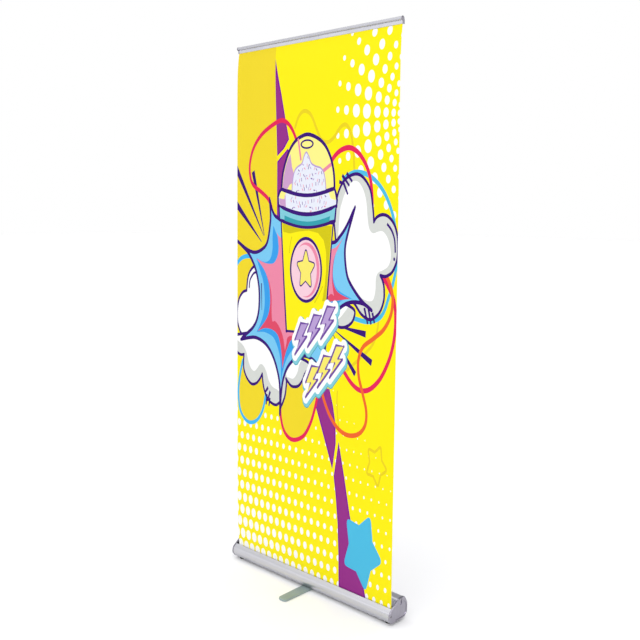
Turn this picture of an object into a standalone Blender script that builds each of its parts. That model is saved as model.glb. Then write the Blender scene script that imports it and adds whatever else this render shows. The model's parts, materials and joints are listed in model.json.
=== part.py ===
"""Roll-up banner stand, 800 mm wide and 2 m high, as an assembly of its separate pieces.

Metres, +Z up. The banner faces -Y and its width runs along X. The origin is on the floor, on the
axis that the single foot swivels about. The base holds a sprung roller; the film rises from it
through a slot, up to a hinged clamping rail that a three-section mast holds from behind.
"""

import math

import bmesh
import bpy
from mathutils import Matrix, Vector

# Driving dimensions
FILM_WIDTH = 0.800
FILM_X = 0.0052  # the film's middle, a little towards the spring end of the base
FILM_Y = -0.032  # the plane that the film hangs in, in front of the foot's axis
FILM_THICKNESS = 0.0004
FILM_BOW = 0.006  # how far the film's middle stands forward of that plane
SLOT_Z = 0.060  # top of the base's front lip
RAIL_BOTTOM_Z = 2.060  # 2 m of film show between the lip and the rail
GAP = 0.0003  # between neighbouring pieces

# Base
HOUSING_HALF = 0.4085
HOUSING_WALL = 0.002
BASE_BOTTOM = 0.0115
CAP_THICKNESS = 0.0077
CAP_GROWTH = 0.0008  # how far an end cap stands out all round the extrusion
FRONT_PORT = (-0.0480, 0.0392)  # the two screw ports inside the extrusion, as (y, z)
TOP_PORT = (0.0110, 0.0820)
PORT_RADIUS = 0.0042
SCREW_RADIUS = 0.0015
SCREW_HEAD_RADIUS = 0.0031
SCREW_LENGTH = 0.016

# Roller
ROLLER_Y = -0.013
ROLLER_Z = 0.040
ROLLER_RADIUS = 0.0172
ROLLER_WALL = 0.0012
ROLLER_TUBE_HALF = 0.4032
WOUND_RADIUS = 0.0184  # outside of the film that stays wound
IDLER_PIN_RADIUS = 0.0030
SPRING_AXLE_RADIUS = 0.0040
SPRING_TURNS = 12

# Foot
FOOT_HALF_LENGTH = 0.176
FOOT_HALF_WIDTH = 0.0225
FOOT_TIP_HALF_WIDTH = 0.0200
FOOT_TOP = 0.0085
FOOT_SHEET = 0.0021
BOLT_RADIUS = 0.0040

# Mast
MAST_Y = 0.0215
SOCKET_BOTTOM = 0.0195
SOCKET_FLOOR = 0.0245
TUBE_OVERLAP = 0.045  # how much of each tube stays in the one below at full height
LOWER_TUBE_RADIUS = 0.0110
MIDDLE_TUBE_RADIUS = 0.0095
TOP_TUBE_RADIUS = 0.0080
TUBE_WALL = 0.0009
LOWER_TUBE_TOP = 0.760
MIDDLE_TUBE_TOP = 1.412
TOP_TUBE_TOP = 2.054
COLLAR_LENGTH = 0.045
COLLAR_OVER_TUBE = 0.018  # how far a collar stands over the end of its tube

# Rail: sizes are measured from the centre of its round head, where the jaw hinges
RAIL_HALF = 0.400
HINGE_Y = FILM_Y - 0.0031
HINGE_Z = RAIL_BOTTOM_Z + 0.0175
HEAD_RADIUS = 0.0072
HEAD_BORE = 0.0045
PINTLE_RADIUS = 0.0041
LEAF_BOTTOM = -0.0175

ROUND = 28  # sides of a round piece
STAND_UP = (math.pi / 2, 0, math.pi / 2)  # an outline's x and y become Y and Z, its thickness X
ALONG_X = (0, math.pi / 2, 0)  # a turned piece's axis becomes X

FINISHES = {  # colour, roughness, metallic
    "satin_aluminium": ((0.72, 0.72, 0.74), 0.32, 1.0),
    "chrome": ((0.78, 0.78, 0.82), 0.12, 1.0),
    "grey_steel": ((0.42, 0.46, 0.43), 0.38, 1.0),
    "zinc_steel": ((0.62, 0.62, 0.60), 0.35, 1.0),
    "spring_steel": ((0.35, 0.35, 0.37), 0.30, 1.0),
    "black_plastic": ((0.03, 0.03, 0.03), 0.50, 0.0),
    "grey_plastic": ((0.30, 0.30, 0.31), 0.45, 0.0),
    "rubber": ((0.02, 0.02, 0.02), 0.85, 0.0),
    "film_back": ((0.70, 0.70, 0.72), 0.55, 0.0),
    "printed_film": ((0.95, 0.82, 0.02), 0.45, 0.0),
}


# Scene and materials


def start_scene():
    for obj in list(bpy.data.objects):
        bpy.data.objects.remove(obj, do_unlink=True)
    made = []
    for name in ("roll_up_banner_stand", "cutters"):
        collection = bpy.data.collections.new(name)
        bpy.context.scene.collection.children.link(collection)
        made.append(collection)
    return made


def make_finishes():
    made = {}
    for name, (colour, roughness, metallic) in FINISHES.items():
        material = bpy.data.materials.new(name)
        material.use_nodes = True
        shader = material.node_tree.nodes["Principled BSDF"]
        shader.inputs["Base Color"].default_value = (*colour, 1)
        shader.inputs["Roughness"].default_value = roughness
        shader.inputs["Metallic"].default_value = metallic
        made[name] = material
    return made


PARTS, CUTTERS = start_scene()
FINISH = make_finishes()


def add(name, data, finish, location=(0, 0, 0), rotation=(0, 0, 0)):
    """A part with this finish or, where finish is None, a hidden cutter."""
    obj = bpy.data.objects.new(name, data)
    obj.location = location
    obj.rotation_euler = rotation
    if finish is None:
        CUTTERS.objects.link(obj)
        obj.hide_render = True
        obj.display_type = "WIRE"
    else:
        PARTS.objects.link(obj)
        data.materials.append(FINISH[finish])
    return obj


def smooth(obj, angle=35):
    obj.data.shade_smooth()
    obj.data.set_sharp_from_angle(angle=math.radians(angle))
    return obj


def turns_about(name, location, members):
    """Hangs the members on an empty that stands on their joint's axis."""
    bpy.context.view_layer.update()
    pivot = bpy.data.objects.new(name, None)
    pivot.location = location
    pivot.empty_display_size = 0.05
    PARTS.objects.link(pivot)
    for obj in members:
        obj.parent = pivot
        obj.matrix_parent_inverse = Matrix.Translation(location).inverted()


# Shapes


def circle(a, b, radius, sides=ROUND):
    steps = (2 * math.pi * i / sides for i in range(sides))
    return [Vector((a + radius * math.cos(t), b + radius * math.sin(t))) for t in steps]


def arc(radius, start, end, step=12):
    """Points about (0, 0) from one angle to another, in degrees."""
    steps = math.ceil(abs(end - start) / step)
    angles = (math.radians(start + (end - start) * i / steps) for i in range(steps + 1))
    return [Vector((radius * math.cos(t), radius * math.sin(t))) for t in angles]


def rounded(corners, closed=True, step=math.radians(12)):
    """The outline through these (a, b, radius) corners, with an arc of that radius at each."""
    points = []
    count = len(corners)
    for i, (a, b, radius) in enumerate(corners):
        here = Vector((a, b))
        if radius == 0 or (not closed and i in (0, count - 1)):
            points.append(here)
            continue
        come = (here - Vector(corners[i - 1][:2])).normalized()
        go = (Vector(corners[(i + 1) % count][:2]) - here).normalized()
        turn = math.atan2(come.x * go.y - come.y * go.x, come.dot(go))
        start = here - come * radius * math.tan(abs(turn) / 2)
        centre = start + Vector((-come.y, come.x)) * math.copysign(radius, turn)
        steps = max(1, math.ceil(abs(turn) / step))
        for k in range(steps + 1):
            points.append(centre + Matrix.Rotation(turn * k / steps, 2) @ (start - centre))
    return points


def grown(points, distance):
    """A closed outline moved sideways by distance, to the left of the way it runs."""
    made = []
    for i, here in enumerate(points):
        come = (here - points[i - 1]).normalized()
        go = (points[(i + 1) % len(points)] - here).normalized()
        side = Vector((-come.y - go.y, come.x + go.x)).normalized()
        made.append(here + side * distance)
    return made


def as_mesh(curve_object):
    """Replaces a curve object by a closed mesh, which a Boolean can use."""
    bpy.context.view_layer.update()
    graph = bpy.context.evaluated_depsgraph_get()
    mesh = bpy.data.meshes.new_from_object(curve_object.evaluated_get(graph))
    welded = bmesh.new()
    welded.from_mesh(mesh)
    bmesh.ops.remove_doubles(welded, verts=welded.verts, dist=1e-6)
    welded.to_mesh(mesh)
    welded.free()
    name = curve_object.name
    matrix = curve_object.matrix_world.copy()
    homes = list(curve_object.users_collection)
    hidden = curve_object.hide_render
    bpy.data.objects.remove(curve_object, do_unlink=True)
    obj = bpy.data.objects.new(name, mesh)
    obj.matrix_world = matrix
    obj.hide_render = hidden
    obj.display_type = "WIRE" if hidden else "TEXTURED"
    for home in homes:
        home.objects.link(obj)
    return obj


def plate(name, outlines, low, high, finish, along="X"):
    """Flat outlines, the second and later ones holes, filled from low to high along X or Z."""
    curve = bpy.data.curves.new(name, "CURVE")
    curve.dimensions = "2D"
    curve.fill_mode = "BOTH"
    curve.extrude = (high - low) / 2
    for outline in outlines:
        spline = curve.splines.new("POLY")
        spline.points.add(len(outline) - 1)
        for point, (a, b) in zip(spline.points, outline):
            point.co = (a, b, 0, 1)
        spline.use_cyclic_u = True
    middle = (low + high) / 2
    place = (middle, 0, 0) if along == "X" else (0, 0, middle)
    obj = add(name, curve, finish, place, STAND_UP if along == "X" else (0, 0, 0))
    return smooth(as_mesh(obj))


def turned(name, profile, finish, location=(0, 0, 0), rotation=(0, 0, 0), sides=ROUND):
    """A Screw of (radius, height) points: down the outside, then up the bore where there is one."""
    mesh = bpy.data.meshes.new(name)
    count = len(profile)
    edges = [(i, (i + 1) % count) for i in range(count)]
    edges = [(i, k) for i, k in edges if profile[i][0] > 0 or profile[k][0] > 0]  # none on the axis
    mesh.from_pydata([(radius, 0, height) for radius, height in profile], edges, [])
    obj = add(name, mesh, finish, location, rotation)
    screw = obj.modifiers.new("Screw", "SCREW")
    screw.steps = screw.render_steps = sides
    screw.use_merge_vertices = True
    screw.merge_threshold = 1e-5
    screw.use_smooth_shade = True
    return obj


def rod(name, radius, low, high, finish, location, rotation=(0, 0, 0), edge=0.0004):
    """A solid round bar with chamfered ends, from low to high along its own axis."""
    profile = [(0, high), (radius - edge, high), (radius, high - edge)]
    profile += [(radius, low + edge), (radius - edge, low), (0, low)]
    return turned(name, profile, finish, location, rotation)


def tube(name, radius, bore, low, high, finish, location, rotation=(0, 0, 0)):
    profile = [(radius, high), (radius, low), (bore, low), (bore, high)]
    return turned(name, profile, finish, location, rotation)


def cutting_cylinder(name, radius, low, high, location, rotation=(0, 0, 0), sides=ROUND):
    shape = bmesh.new()
    bmesh.ops.create_cone(
        shape, cap_ends=True, segments=sides, radius1=radius, radius2=radius, depth=high - low
    )
    bmesh.ops.translate(shape, verts=shape.verts, vec=(0, 0, (low + high) / 2))
    mesh = bpy.data.meshes.new(name)
    shape.to_mesh(mesh)
    shape.free()
    return add(name, mesh, None, location, rotation)


def box(name, low, high, finish, bevel=0.0):
    shape = bmesh.new()
    bmesh.ops.create_cube(shape, size=1)
    low, high = Vector(low), Vector(high)
    bmesh.ops.scale(shape, verts=shape.verts, vec=high - low)
    mesh = bpy.data.meshes.new(name)
    shape.to_mesh(mesh)
    shape.free()
    obj = add(name, mesh, finish, (low + high) / 2)
    if bevel:
        rounding = obj.modifiers.new("Bevel", "BEVEL")
        rounding.width = bevel
        rounding.segments = 2
    return obj


def boolean(obj, other, operation="DIFFERENCE"):
    modifier = obj.modifiers.new(operation.title() + " " + other.name, "BOOLEAN")
    modifier.operation = operation
    modifier.object = other
    modifier.solver = "EXACT"


def round_rim(obj, width, segments, at_rim):
    """Bevels the mesh's edges whose two ends are both at the rim."""
    shape = bmesh.new()
    shape.from_mesh(obj.data)
    rim = [e for e in shape.edges if all(at_rim(obj.matrix_world @ v.co) for v in e.verts)]
    rim = [e for e in rim if len(e.link_faces) == 2 and e.calc_face_angle(0) > math.radians(45)]
    bmesh.ops.bevel(
        shape, geom=rim, offset=width, segments=segments, profile=0.5, affect="EDGES"
    )
    shape.to_mesh(obj.data)
    shape.free()
    return smooth(obj)


# Base

# The extrusion's corners as (y, z, radius), from the slot's rear edge over the back to the lip
HOUSING_CORNERS = [
    (-0.0250, 0.0655, 0.0000),
    (-0.0040, 0.0870, 0.0200),
    (0.0310, 0.0888, 0.0120),
    (0.0470, 0.0620, 0.0200),
    (0.0465, 0.0275, 0.0120),
    (0.0330, BASE_BOTTOM, 0.0100),
    (-0.0430, BASE_BOTTOM, 0.0040),
    (-0.0555, 0.0300, 0.0140),
    (-0.0505, 0.0505, 0.0160),
    (-0.0365, SLOT_Z + 0.0010, 0.0020),
    (-0.0340, SLOT_Z + 0.0010, 0.0000),
]


def base_housing():
    """A long open profile, thickened inwards, with two screw ports and the drilled holes."""
    path = rounded(HOUSING_CORNERS, closed=False)
    shape = bmesh.new()
    rows = [[shape.verts.new((x, y, z)) for y, z in path] for x in (-HOUSING_HALF, HOUSING_HALF)]
    for i in range(len(path) - 1):
        shape.faces.new((rows[0][i], rows[1][i], rows[1][i + 1], rows[0][i + 1]))
    mesh = bpy.data.meshes.new("base_housing")
    shape.to_mesh(mesh)
    shape.free()
    housing = smooth(add("base_housing", mesh, "satin_aluminium"))
    wall = housing.modifiers.new("Wall", "SOLIDIFY")
    wall.thickness = HOUSING_WALL
    wall.offset = -1
    wall.use_even_offset = True
    for name, (y, z) in (("front_port", FRONT_PORT), ("top_port", TOP_PORT)):
        end = HOUSING_HALF - 0.0001
        port = cutting_cylinder(name, PORT_RADIUS, -end, end, (0, y, z), ALONG_X, sides=16)
        boolean(housing, port, "UNION")
    for name, (y, z) in (("front_bore", FRONT_PORT), ("top_bore", TOP_PORT)):
        for side in (-1, 1):
            low, high = sorted((side * (HOUSING_HALF - 0.012), side * (HOUSING_HALF + 0.002)))
            place = (0, y, z)
            bore = cutting_cylinder(
                f"{name}_{side}", SCREW_RADIUS + GAP, low, high, place, ALONG_X, sides=12
            )
            boolean(housing, bore)
    mast_hole = cutting_cylinder("mast_hole", 0.0151, 0.070, 0.100, (0, MAST_Y, 0))
    bolt_hole = cutting_cylinder("bolt_hole", BOLT_RADIUS + GAP, 0.005, 0.016, (0, 0, 0))
    boolean(housing, mast_hole)
    boolean(housing, bolt_hole)
    return housing


# An end cap follows the extrusion but closes straight over the slot
CAP_CORNERS = HOUSING_CORNERS[1:-2] + [(-0.0368, SLOT_Z + 0.0008, 0.0060)]
CAP_PANEL_CORNERS = [
    (-0.0230, 0.0370, 0.0050),
    (-0.0070, 0.0680, 0.0160),
    (0.0200, 0.0820, 0.0120),
    (0.0415, 0.0590, 0.0140),
    (0.0415, 0.0290, 0.0100),
    (0.0295, 0.0165, 0.0080),
    (-0.0250, 0.0165, 0.0080),
]
CAP_NOTCH_CORNERS = [
    (0.0068, 0.0625, 0.0040),
    (0.0068, 0.0862, 0.0041),
    (0.0152, 0.0862, 0.0041),
    (0.0152, 0.0625, 0.0040),
]


def end_cap(label, side):
    """A plated plug over one end: rounded rim, sunk panel, and a slot that holds the upper screw."""
    outline = grown(rounded(CAP_CORNERS), CAP_GROWTH)
    inner = side * (HOUSING_HALF + GAP)
    outer = side * (HOUSING_HALF + GAP + CAP_THICKNESS)
    low, high = sorted((inner, outer))
    cap = plate(f"end_cap_{label}", [outline], low, high, "chrome")
    round_rim(cap, 0.0025, 3, lambda v: abs(v.x - outer) < 1e-5)

    def cut(name, outline, depth):
        low, high = sorted((outer - side * depth, outer + side * 0.002))
        boolean(cap, plate(f"{name}_{label}", [outline], low, high, None))

    cut("panel", rounded(CAP_PANEL_CORNERS), 0.0012)
    cut("notch", rounded(CAP_NOTCH_CORNERS), 0.0036)
    cut("front_head", circle(*FRONT_PORT, SCREW_HEAD_RADIUS + GAP, 20), 0.0036)
    for name, port in (("front", FRONT_PORT), ("top", TOP_PORT)):
        cut(f"{name}_shank", circle(*port, SCREW_RADIUS + GAP, 12), CAP_THICKNESS + 0.002)
        cap_screw(f"cap_screw_{name}_{label}", side, port, outer - side * (0.0036 - GAP))
    return cap


def cap_screw(name, side, port, seat):
    """A pan-head screw with a cross recess, its head standing on seat and its shank inwards."""
    head = 0.0020
    profile = [
        (0, head),
        (SCREW_HEAD_RADIUS * 0.70, head),
        (SCREW_HEAD_RADIUS, head * 0.55),
        (SCREW_HEAD_RADIUS, 0),
        (SCREW_RADIUS, 0),
        (SCREW_RADIUS, 0.0010 - SCREW_LENGTH),
        (0, -SCREW_LENGTH),
    ]
    place = (seat, *port)
    screw = turned(name, profile, "zinc_steel", place, (0, side * math.pi / 2, 0), sides=20)
    for turn, blade in enumerate(((0.0007, 0.0034), (0.0034, 0.0007))):
        y, z = blade
        low = Vector((seat + side * head * 0.45, port[0] - y / 2, port[1] - z / 2))
        high = Vector((seat + side * head * 1.5, port[0] + y / 2, port[1] + z / 2))
        low, high = (Vector(map(pick, low, high)) for pick in (min, max))
        boolean(screw, box(f"{name}_slot_{turn}", low, high, None))


BRACKET_CORNERS = [
    (-0.0370, 0.0145, 0.0020),
    (-0.0395, 0.0300, 0.0050),
    (-0.0395, 0.0520, 0.0040),
    (-0.0210, 0.0600, 0.0050),
    (-0.0020, 0.0750, 0.0060),
    (0.0320, 0.0750, 0.0060),
    (0.0420, 0.0600, 0.0100),
    (0.0420, 0.0290, 0.0100),
    (0.0300, 0.0145, 0.0070),
]


def axle_bracket(label, side, pin_radius):
    """The moulded plug inside the extrusion's end that carries the roller's fixed pin."""
    low, high = sorted((side * 0.4060, side * (HOUSING_HALF - 0.0002)))
    hole = circle(ROLLER_Y, ROLLER_Z, pin_radius + GAP, 20)
    return plate(f"axle_bracket_{label}", [rounded(BRACKET_CORNERS), hole], low, high, "grey_plastic")


def base_pad(label, side):
    """A rubber strip under one end of the base, as tall as the foot holds the middle."""
    half_x, half_y, radius = 0.011, 0.034, 0.0105
    centre = side * 0.385
    corners = [
        (centre + x * half_x, y * half_y, radius) for x, y in ((1, -1), (1, 1), (-1, 1), (-1, -1))
    ]
    pad = plate(f"base_pad_{label}", [rounded(corners)], 0, BASE_BOTTOM - GAP, "rubber", "Z")
    return round_rim(pad, 0.0012, 2, lambda v: v.z < 1e-5)


def mast_socket():
    """The moulded cup that the mast stands in, with a collar cut to sit on the curved crest."""
    bore = LOWER_TUBE_RADIUS + GAP
    profile = [
        (0.0138, 0.0960),
        (0.0200, 0.0925),
        (0.0200, 0.0700),
        (0.0148, 0.0700),
        (0.0148, SOCKET_BOTTOM),
        (0, SOCKET_BOTTOM),
        (0, SOCKET_FLOOR),
        (bore, SOCKET_FLOOR),
        (bore, 0.0945),
        (bore + 0.0010, 0.0960),
    ]
    socket = turned("mast_socket", profile, "black_plastic", (0, MAST_Y, 0))
    crest = plate("crest", [grown(rounded(HOUSING_CORNERS), GAP)], -0.03, 0.03, None)
    keep = cutting_cylinder("crest_bore", 0.0150, -0.01, 0.11, (0, MAST_Y, 0))
    boolean(crest, keep)
    boolean(socket, crest)
    return socket


# Roller


def roller():
    """The tube that the film winds on, its two plugs and what stays wound on it."""
    centre = (0, ROLLER_Y, ROLLER_Z)
    bore = ROLLER_RADIUS - ROLLER_WALL
    left, right = FILM_X - FILM_WIDTH / 2, FILM_X + FILM_WIDTH / 2
    sleeve = ROLLER_RADIUS + GAP
    half = ROLLER_TUBE_HALF
    pieces = [
        tube("roller_tube", ROLLER_RADIUS, bore, -half, half, "satin_aluminium", centre, ALONG_X),
        tube("wound_film", WOUND_RADIUS, sleeve, left, right, "film_back", centre, ALONG_X),
    ]
    body = bore - GAP
    flange, flange_end, plug_end = half + GAP, half + 0.0024, half - 0.0232
    plugs = (("idler", -1, IDLER_PIN_RADIUS), ("spring", 1, SPRING_AXLE_RADIUS))
    for label, side, pin in plugs:
        profile = [
            (ROLLER_RADIUS - 0.0006, flange_end),
            (ROLLER_RADIUS, flange_end - 0.0006),
            (ROLLER_RADIUS, flange),
            (body, flange),
            (body, plug_end + 0.0006),
            (body - 0.0006, plug_end),
            (pin + GAP, plug_end),
            (pin + GAP, flange_end),
        ]
        rotation = (0, side * math.pi / 2, 0)
        pieces.append(turned(f"roller_plug_{label}", profile, "black_plastic", centre, rotation))
    turns_about("roller_axis", centre, pieces)


def roller_supports():
    """The fixed pin at the idler end, and the axle that the torsion spring winds about."""
    centre = (0, ROLLER_Y, ROLLER_Z)
    rod("idler_pin", IDLER_PIN_RADIUS, -0.4082, -0.3830, "zinc_steel", centre, ALONG_X)
    rod("spring_axle", SPRING_AXLE_RADIUS, 0.1500, 0.4082, "zinc_steel", centre, ALONG_X)
    bore = SPRING_AXLE_RADIUS + GAP
    tube("spring_anchor", 0.0090, bore, 0.1500, 0.1640, "black_plastic", centre, ALONG_X)


def torsion_spring():
    """A close coil about the axle, from the anchor to the sprung plug."""
    coil_radius, wire_radius = 0.0105, 0.0008
    start, end = 0.1655, 0.3785
    per_turn = 10
    curve = bpy.data.curves.new("torsion_spring", "CURVE")
    curve.dimensions = "3D"
    curve.bevel_depth = wire_radius
    curve.bevel_resolution = 0
    curve.use_fill_caps = True
    spline = curve.splines.new("POLY")
    count = SPRING_TURNS * per_turn
    spline.points.add(count)
    for i, point in enumerate(spline.points):
        angle = 2 * math.pi * i / per_turn
        along = start + (end - start) * i / count
        point.co = (along, coil_radius * math.cos(angle), coil_radius * math.sin(angle), 1)
    add("torsion_spring", curve, "spring_steel", (0, ROLLER_Y, ROLLER_Z))


# Foot


def foot_outline(inset=0.0):
    """A long blade, tapered from the middle to both blunt, rounded tips."""
    tip, middle = FOOT_TIP_HALF_WIDTH - inset, FOOT_HALF_WIDTH - inset
    end = FOOT_HALF_LENGTH - inset
    corners = [
        (middle, 0, 0.30),
        (tip, end, 0.014 - inset),
        (-tip, end, 0.014 - inset),
        (-middle, 0, 0.30),
        (-tip, -end, 0.014 - inset),
        (tip, -end, 0.014 - inset),
    ]
    return rounded(corners)


def foot():
    """A pressed steel blade with a turned-down rim and a raised dimple on each side of the base."""
    blade = plate("swivel_foot", [foot_outline()], 0.0012, FOOT_TOP, "grey_steel", "Z")
    round_rim(blade, 0.0024, 3, lambda v: v.z > FOOT_TOP - 1e-5)
    underside = FOOT_TOP - FOOT_SHEET
    hollow = plate("foot_hollow", [foot_outline(FOOT_SHEET)], -0.005, underside, None, "Z")
    boolean(blade, hollow)
    boolean(blade, cutting_cylinder("foot_bore", BOLT_RADIUS + GAP, 0, 0.02, (0, 0, 0)))
    pieces = [blade]
    for label, side in (("front", -1), ("rear", 1)):
        dimple = cutting_cylinder(
            f"dimple_{label}", 0.0045, underside + 0.0005, FOOT_TOP + 0.0009, (0, side * 0.0470, 0)
        )
        boolean(blade, dimple, "UNION")
        half_x, low_y, high_y = 0.014, 0.126, 0.162
        near, far = sorted((side * low_y, side * high_y))
        corners = [
            (half_x, near, 0.006),
            (half_x, far, 0.006),
            (-half_x, far, 0.006),
            (-half_x, near, 0.006),
        ]
        pad = plate(f"foot_pad_{label}", [rounded(corners)], 0, underside - GAP, "rubber", "Z")
        pieces.append(round_rim(pad, 0.0010, 2, lambda v: v.z < 1e-5))
    turns_about("foot_swivel_axis", (0, 0, 0), pieces)


def hexagon(name, across_corners, low, high, hole, finish):
    outlines = [circle(0, 0, across_corners / 2, 6)]
    if hole:
        outlines.append(circle(0, 0, hole, 20))
    return plate(name, outlines, low, high, finish, "Z")


def foot_pivot():
    """The bolt, with its head under the foot, its washer and the nut inside the base."""
    head_low, head_high = 0.0020, FOOT_TOP - FOOT_SHEET - GAP
    bolt = hexagon("foot_pivot_bolt", 0.0150, head_low, head_high, 0, "zinc_steel")
    shank = cutting_cylinder("bolt_shank", BOLT_RADIUS, head_high - 0.002, 0.0198, (0, 0, 0))
    boolean(bolt, shank, "UNION")
    bore = BOLT_RADIUS + GAP
    low, high = FOOT_TOP + GAP, BASE_BOTTOM - GAP
    tube("foot_washer", 0.0120, bore, low, high, "grey_plastic", (0, 0, 0))
    nut_low = BASE_BOTTOM + HOUSING_WALL + GAP
    hexagon("foot_pivot_nut", 0.0150, nut_low, nut_low + 0.0050, bore, "zinc_steel")


# Mast


def twist_collar(name, tube_top, outer_tube, inner_tube):
    """A ribbed ring round the end of one tube that clamps the next tube where it is turned."""
    radius = outer_tube + 0.0040
    top = tube_top + COLLAR_OVER_TUBE
    low = top - COLLAR_LENGTH
    profile = [
        (inner_tube + 0.0012, top),
        (radius - 0.0012, top),
        (radius, top - 0.0012),
        (radius, low + 0.0012),
        (radius - 0.0012, low),
        (outer_tube + GAP, low),
        (outer_tube + GAP, tube_top + 0.0010),
        (inner_tube + GAP, tube_top + 0.0020),
        (inner_tube + GAP, top - 0.0012),
    ]
    collar = turned(name, profile, "black_plastic", (0, MAST_Y, 0))
    ribs = 12
    for i in range(ribs):
        angle = 2 * math.pi * (i + 0.5) / ribs
        reach = radius + 0.0004
        place = (reach * math.cos(angle), MAST_Y + reach * math.sin(angle), 0)
        ends = (low + 0.006, top - 0.008)
        boolean(collar, cutting_cylinder(f"{name}_groove_{i}", 0.0012, *ends, place, sides=8))
    turns_about(f"{name}_axis", (0, MAST_Y, 0), [collar])
    return collar


def guide_bush(name, tube_radius, outer_bore, tube_bottom):
    """The plug in a sliding tube's lower end that guides it in the tube outside."""
    spigot = tube_radius - TUBE_WALL - GAP
    guide = outer_bore - GAP
    profile = [
        (spigot - 0.0005, tube_bottom + 0.0120),
        (spigot, tube_bottom + 0.0115),
        (spigot, tube_bottom - GAP),
        (guide, tube_bottom - GAP),
        (guide, tube_bottom - 0.0110),
        (guide - 0.0005, tube_bottom - 0.0115),
        (0.0030, tube_bottom - 0.0115),
        (0.0030, tube_bottom + 0.0120),
    ]
    return turned(name, profile, "grey_plastic", (0, MAST_Y, 0))


def mast():
    """Three tubes, each sliding in the one below, with a twist collar at each joint."""
    foot_of_mast = (0, MAST_Y, 0)
    sections = (
        ("lower", LOWER_TUBE_RADIUS, SOCKET_FLOOR + GAP, LOWER_TUBE_TOP),
        ("middle", MIDDLE_TUBE_RADIUS, LOWER_TUBE_TOP - TUBE_OVERLAP, MIDDLE_TUBE_TOP),
        ("top", TOP_TUBE_RADIUS, MIDDLE_TUBE_TOP - TUBE_OVERLAP, TOP_TUBE_TOP),
    )
    for i, (label, radius, low, high) in enumerate(sections):
        name = f"mast_{label}_tube"
        section = tube(name, radius, radius - TUBE_WALL, low, high, "satin_aluminium", foot_of_mast)
        if i:
            outer_bore = sections[i - 1][1] - TUBE_WALL
            bush = guide_bush(f"{label}_guide_bush", radius, outer_bore, low)
            turns_about(f"{label}_section", foot_of_mast, [section, bush])
    twist_collar("lower_lock_collar", LOWER_TUBE_TOP, LOWER_TUBE_RADIUS, MIDDLE_TUBE_RADIUS)
    twist_collar("upper_lock_collar", MIDDLE_TUBE_TOP, MIDDLE_TUBE_RADIUS, TOP_TUBE_RADIUS)


def mast_head():
    """The moulded cap on the mast, whose arm reaches forward to a tongue that the rail hooks over."""
    cap_radius, cap_bottom, cap_top = 0.0110, 2.0340, 2.0585
    bore = TOP_TUBE_RADIUS + GAP
    profile = [
        (0, cap_top),
        (cap_radius - 0.0020, cap_top),
        (cap_radius, cap_top - 0.0020),
        (cap_radius, cap_bottom),
        (bore, cap_bottom),
        (bore, TOP_TUBE_TOP + GAP),
        (0, TOP_TUBE_TOP + GAP),
    ]
    head = turned("mast_head", profile, "black_plastic", (0, MAST_Y, 0))
    tongue_front, tongue_rear = HINGE_Y + 0.0058, HINGE_Y + 0.0078
    arm_root = MAST_Y - bore - 0.0012
    arm_side = [
        (arm_root, cap_bottom + 0.0010, 0.0),
        (arm_root, cap_top - 0.0015, 0.0),
        (tongue_rear + 0.0060, cap_top - 0.0015, 0.0030),
        (tongue_rear, cap_top - 0.0030, 0.0),
        (tongue_rear, HINGE_Z - 0.0079, 0.0),
        (tongue_front, HINGE_Z - 0.0079, 0.0),
        (tongue_front, cap_bottom + 0.0090, 0.0040),
    ]
    arm = plate("head_arm", [rounded(arm_side)], -0.0095, 0.0095, None)
    boolean(head, arm, "UNION")
    return head


# Rail and film


def about_hinge(points):
    return [Vector((HINGE_Y + a, HINGE_Z + b)) for a, b in points]


def top_rail():
    """The fixed leaf: an open round head, a gripping leaf behind the film and a hook channel."""
    leaf_front, leaf_rear = 0.0042, 0.0055
    hook_inner, hook_outer = 0.0081, 0.0091
    points = arc(HEAD_RADIUS, 210, -40)
    points += [
        (leaf_rear, -0.0063),
        (hook_outer, -0.0063),
        (hook_outer, -0.0165),
        (hook_inner, -0.0165),
        (hook_inner, -0.0075),
        (leaf_rear, -0.0075),
        (leaf_rear, LEAF_BOTTOM),
        (0.0036, LEAF_BOTTOM),
        (0.0036, LEAF_BOTTOM + 0.0025),
        (leaf_front, LEAF_BOTTOM + 0.0035),
        (leaf_front, -0.0059),
    ]
    points += arc(HEAD_BORE, -56, 210)
    low, high = FILM_X - RAIL_HALF, FILM_X + RAIL_HALF
    return plate("top_rail", [about_hinge(points)], low, high, "satin_aluminium")


def rail_jaw():
    """The hinged front leaf: a pintle that turns in the head, an arm and a gripping toe."""
    arm_front, arm_rear, toe = 0.0008, 0.0021, 0.0026
    bottom = LEAF_BOTTOM + 0.0003
    start = math.degrees(math.asin(arm_front / PINTLE_RADIUS))
    end = math.degrees(math.asin(arm_rear / PINTLE_RADIUS))
    points = arc(PINTLE_RADIUS, -90 + end, 270 + start)
    points += [
        (arm_front, bottom + 0.0008),
        (arm_front + 0.0005, bottom),
        (toe, bottom),
        (toe, bottom + 0.0025),
        (arm_rear, bottom + 0.0035),
    ]
    half = RAIL_HALF - 0.0005
    jaw = plate("rail_jaw", [about_hinge(points)], FILM_X - half, FILM_X + half, "satin_aluminium")
    centre = (FILM_X, HINGE_Y, HINGE_Z)
    for side in (-1, 1):
        low, high = sorted((side * (half - 0.0105), side * (half + 0.002)))
        peg_hole = cutting_cylinder(f"peg_hole_{side}", 0.0020, low, high, centre, ALONG_X, sides=16)
        boolean(jaw, peg_hole)
    turns_about("jaw_axis", centre, [jaw])
    return jaw


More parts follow.
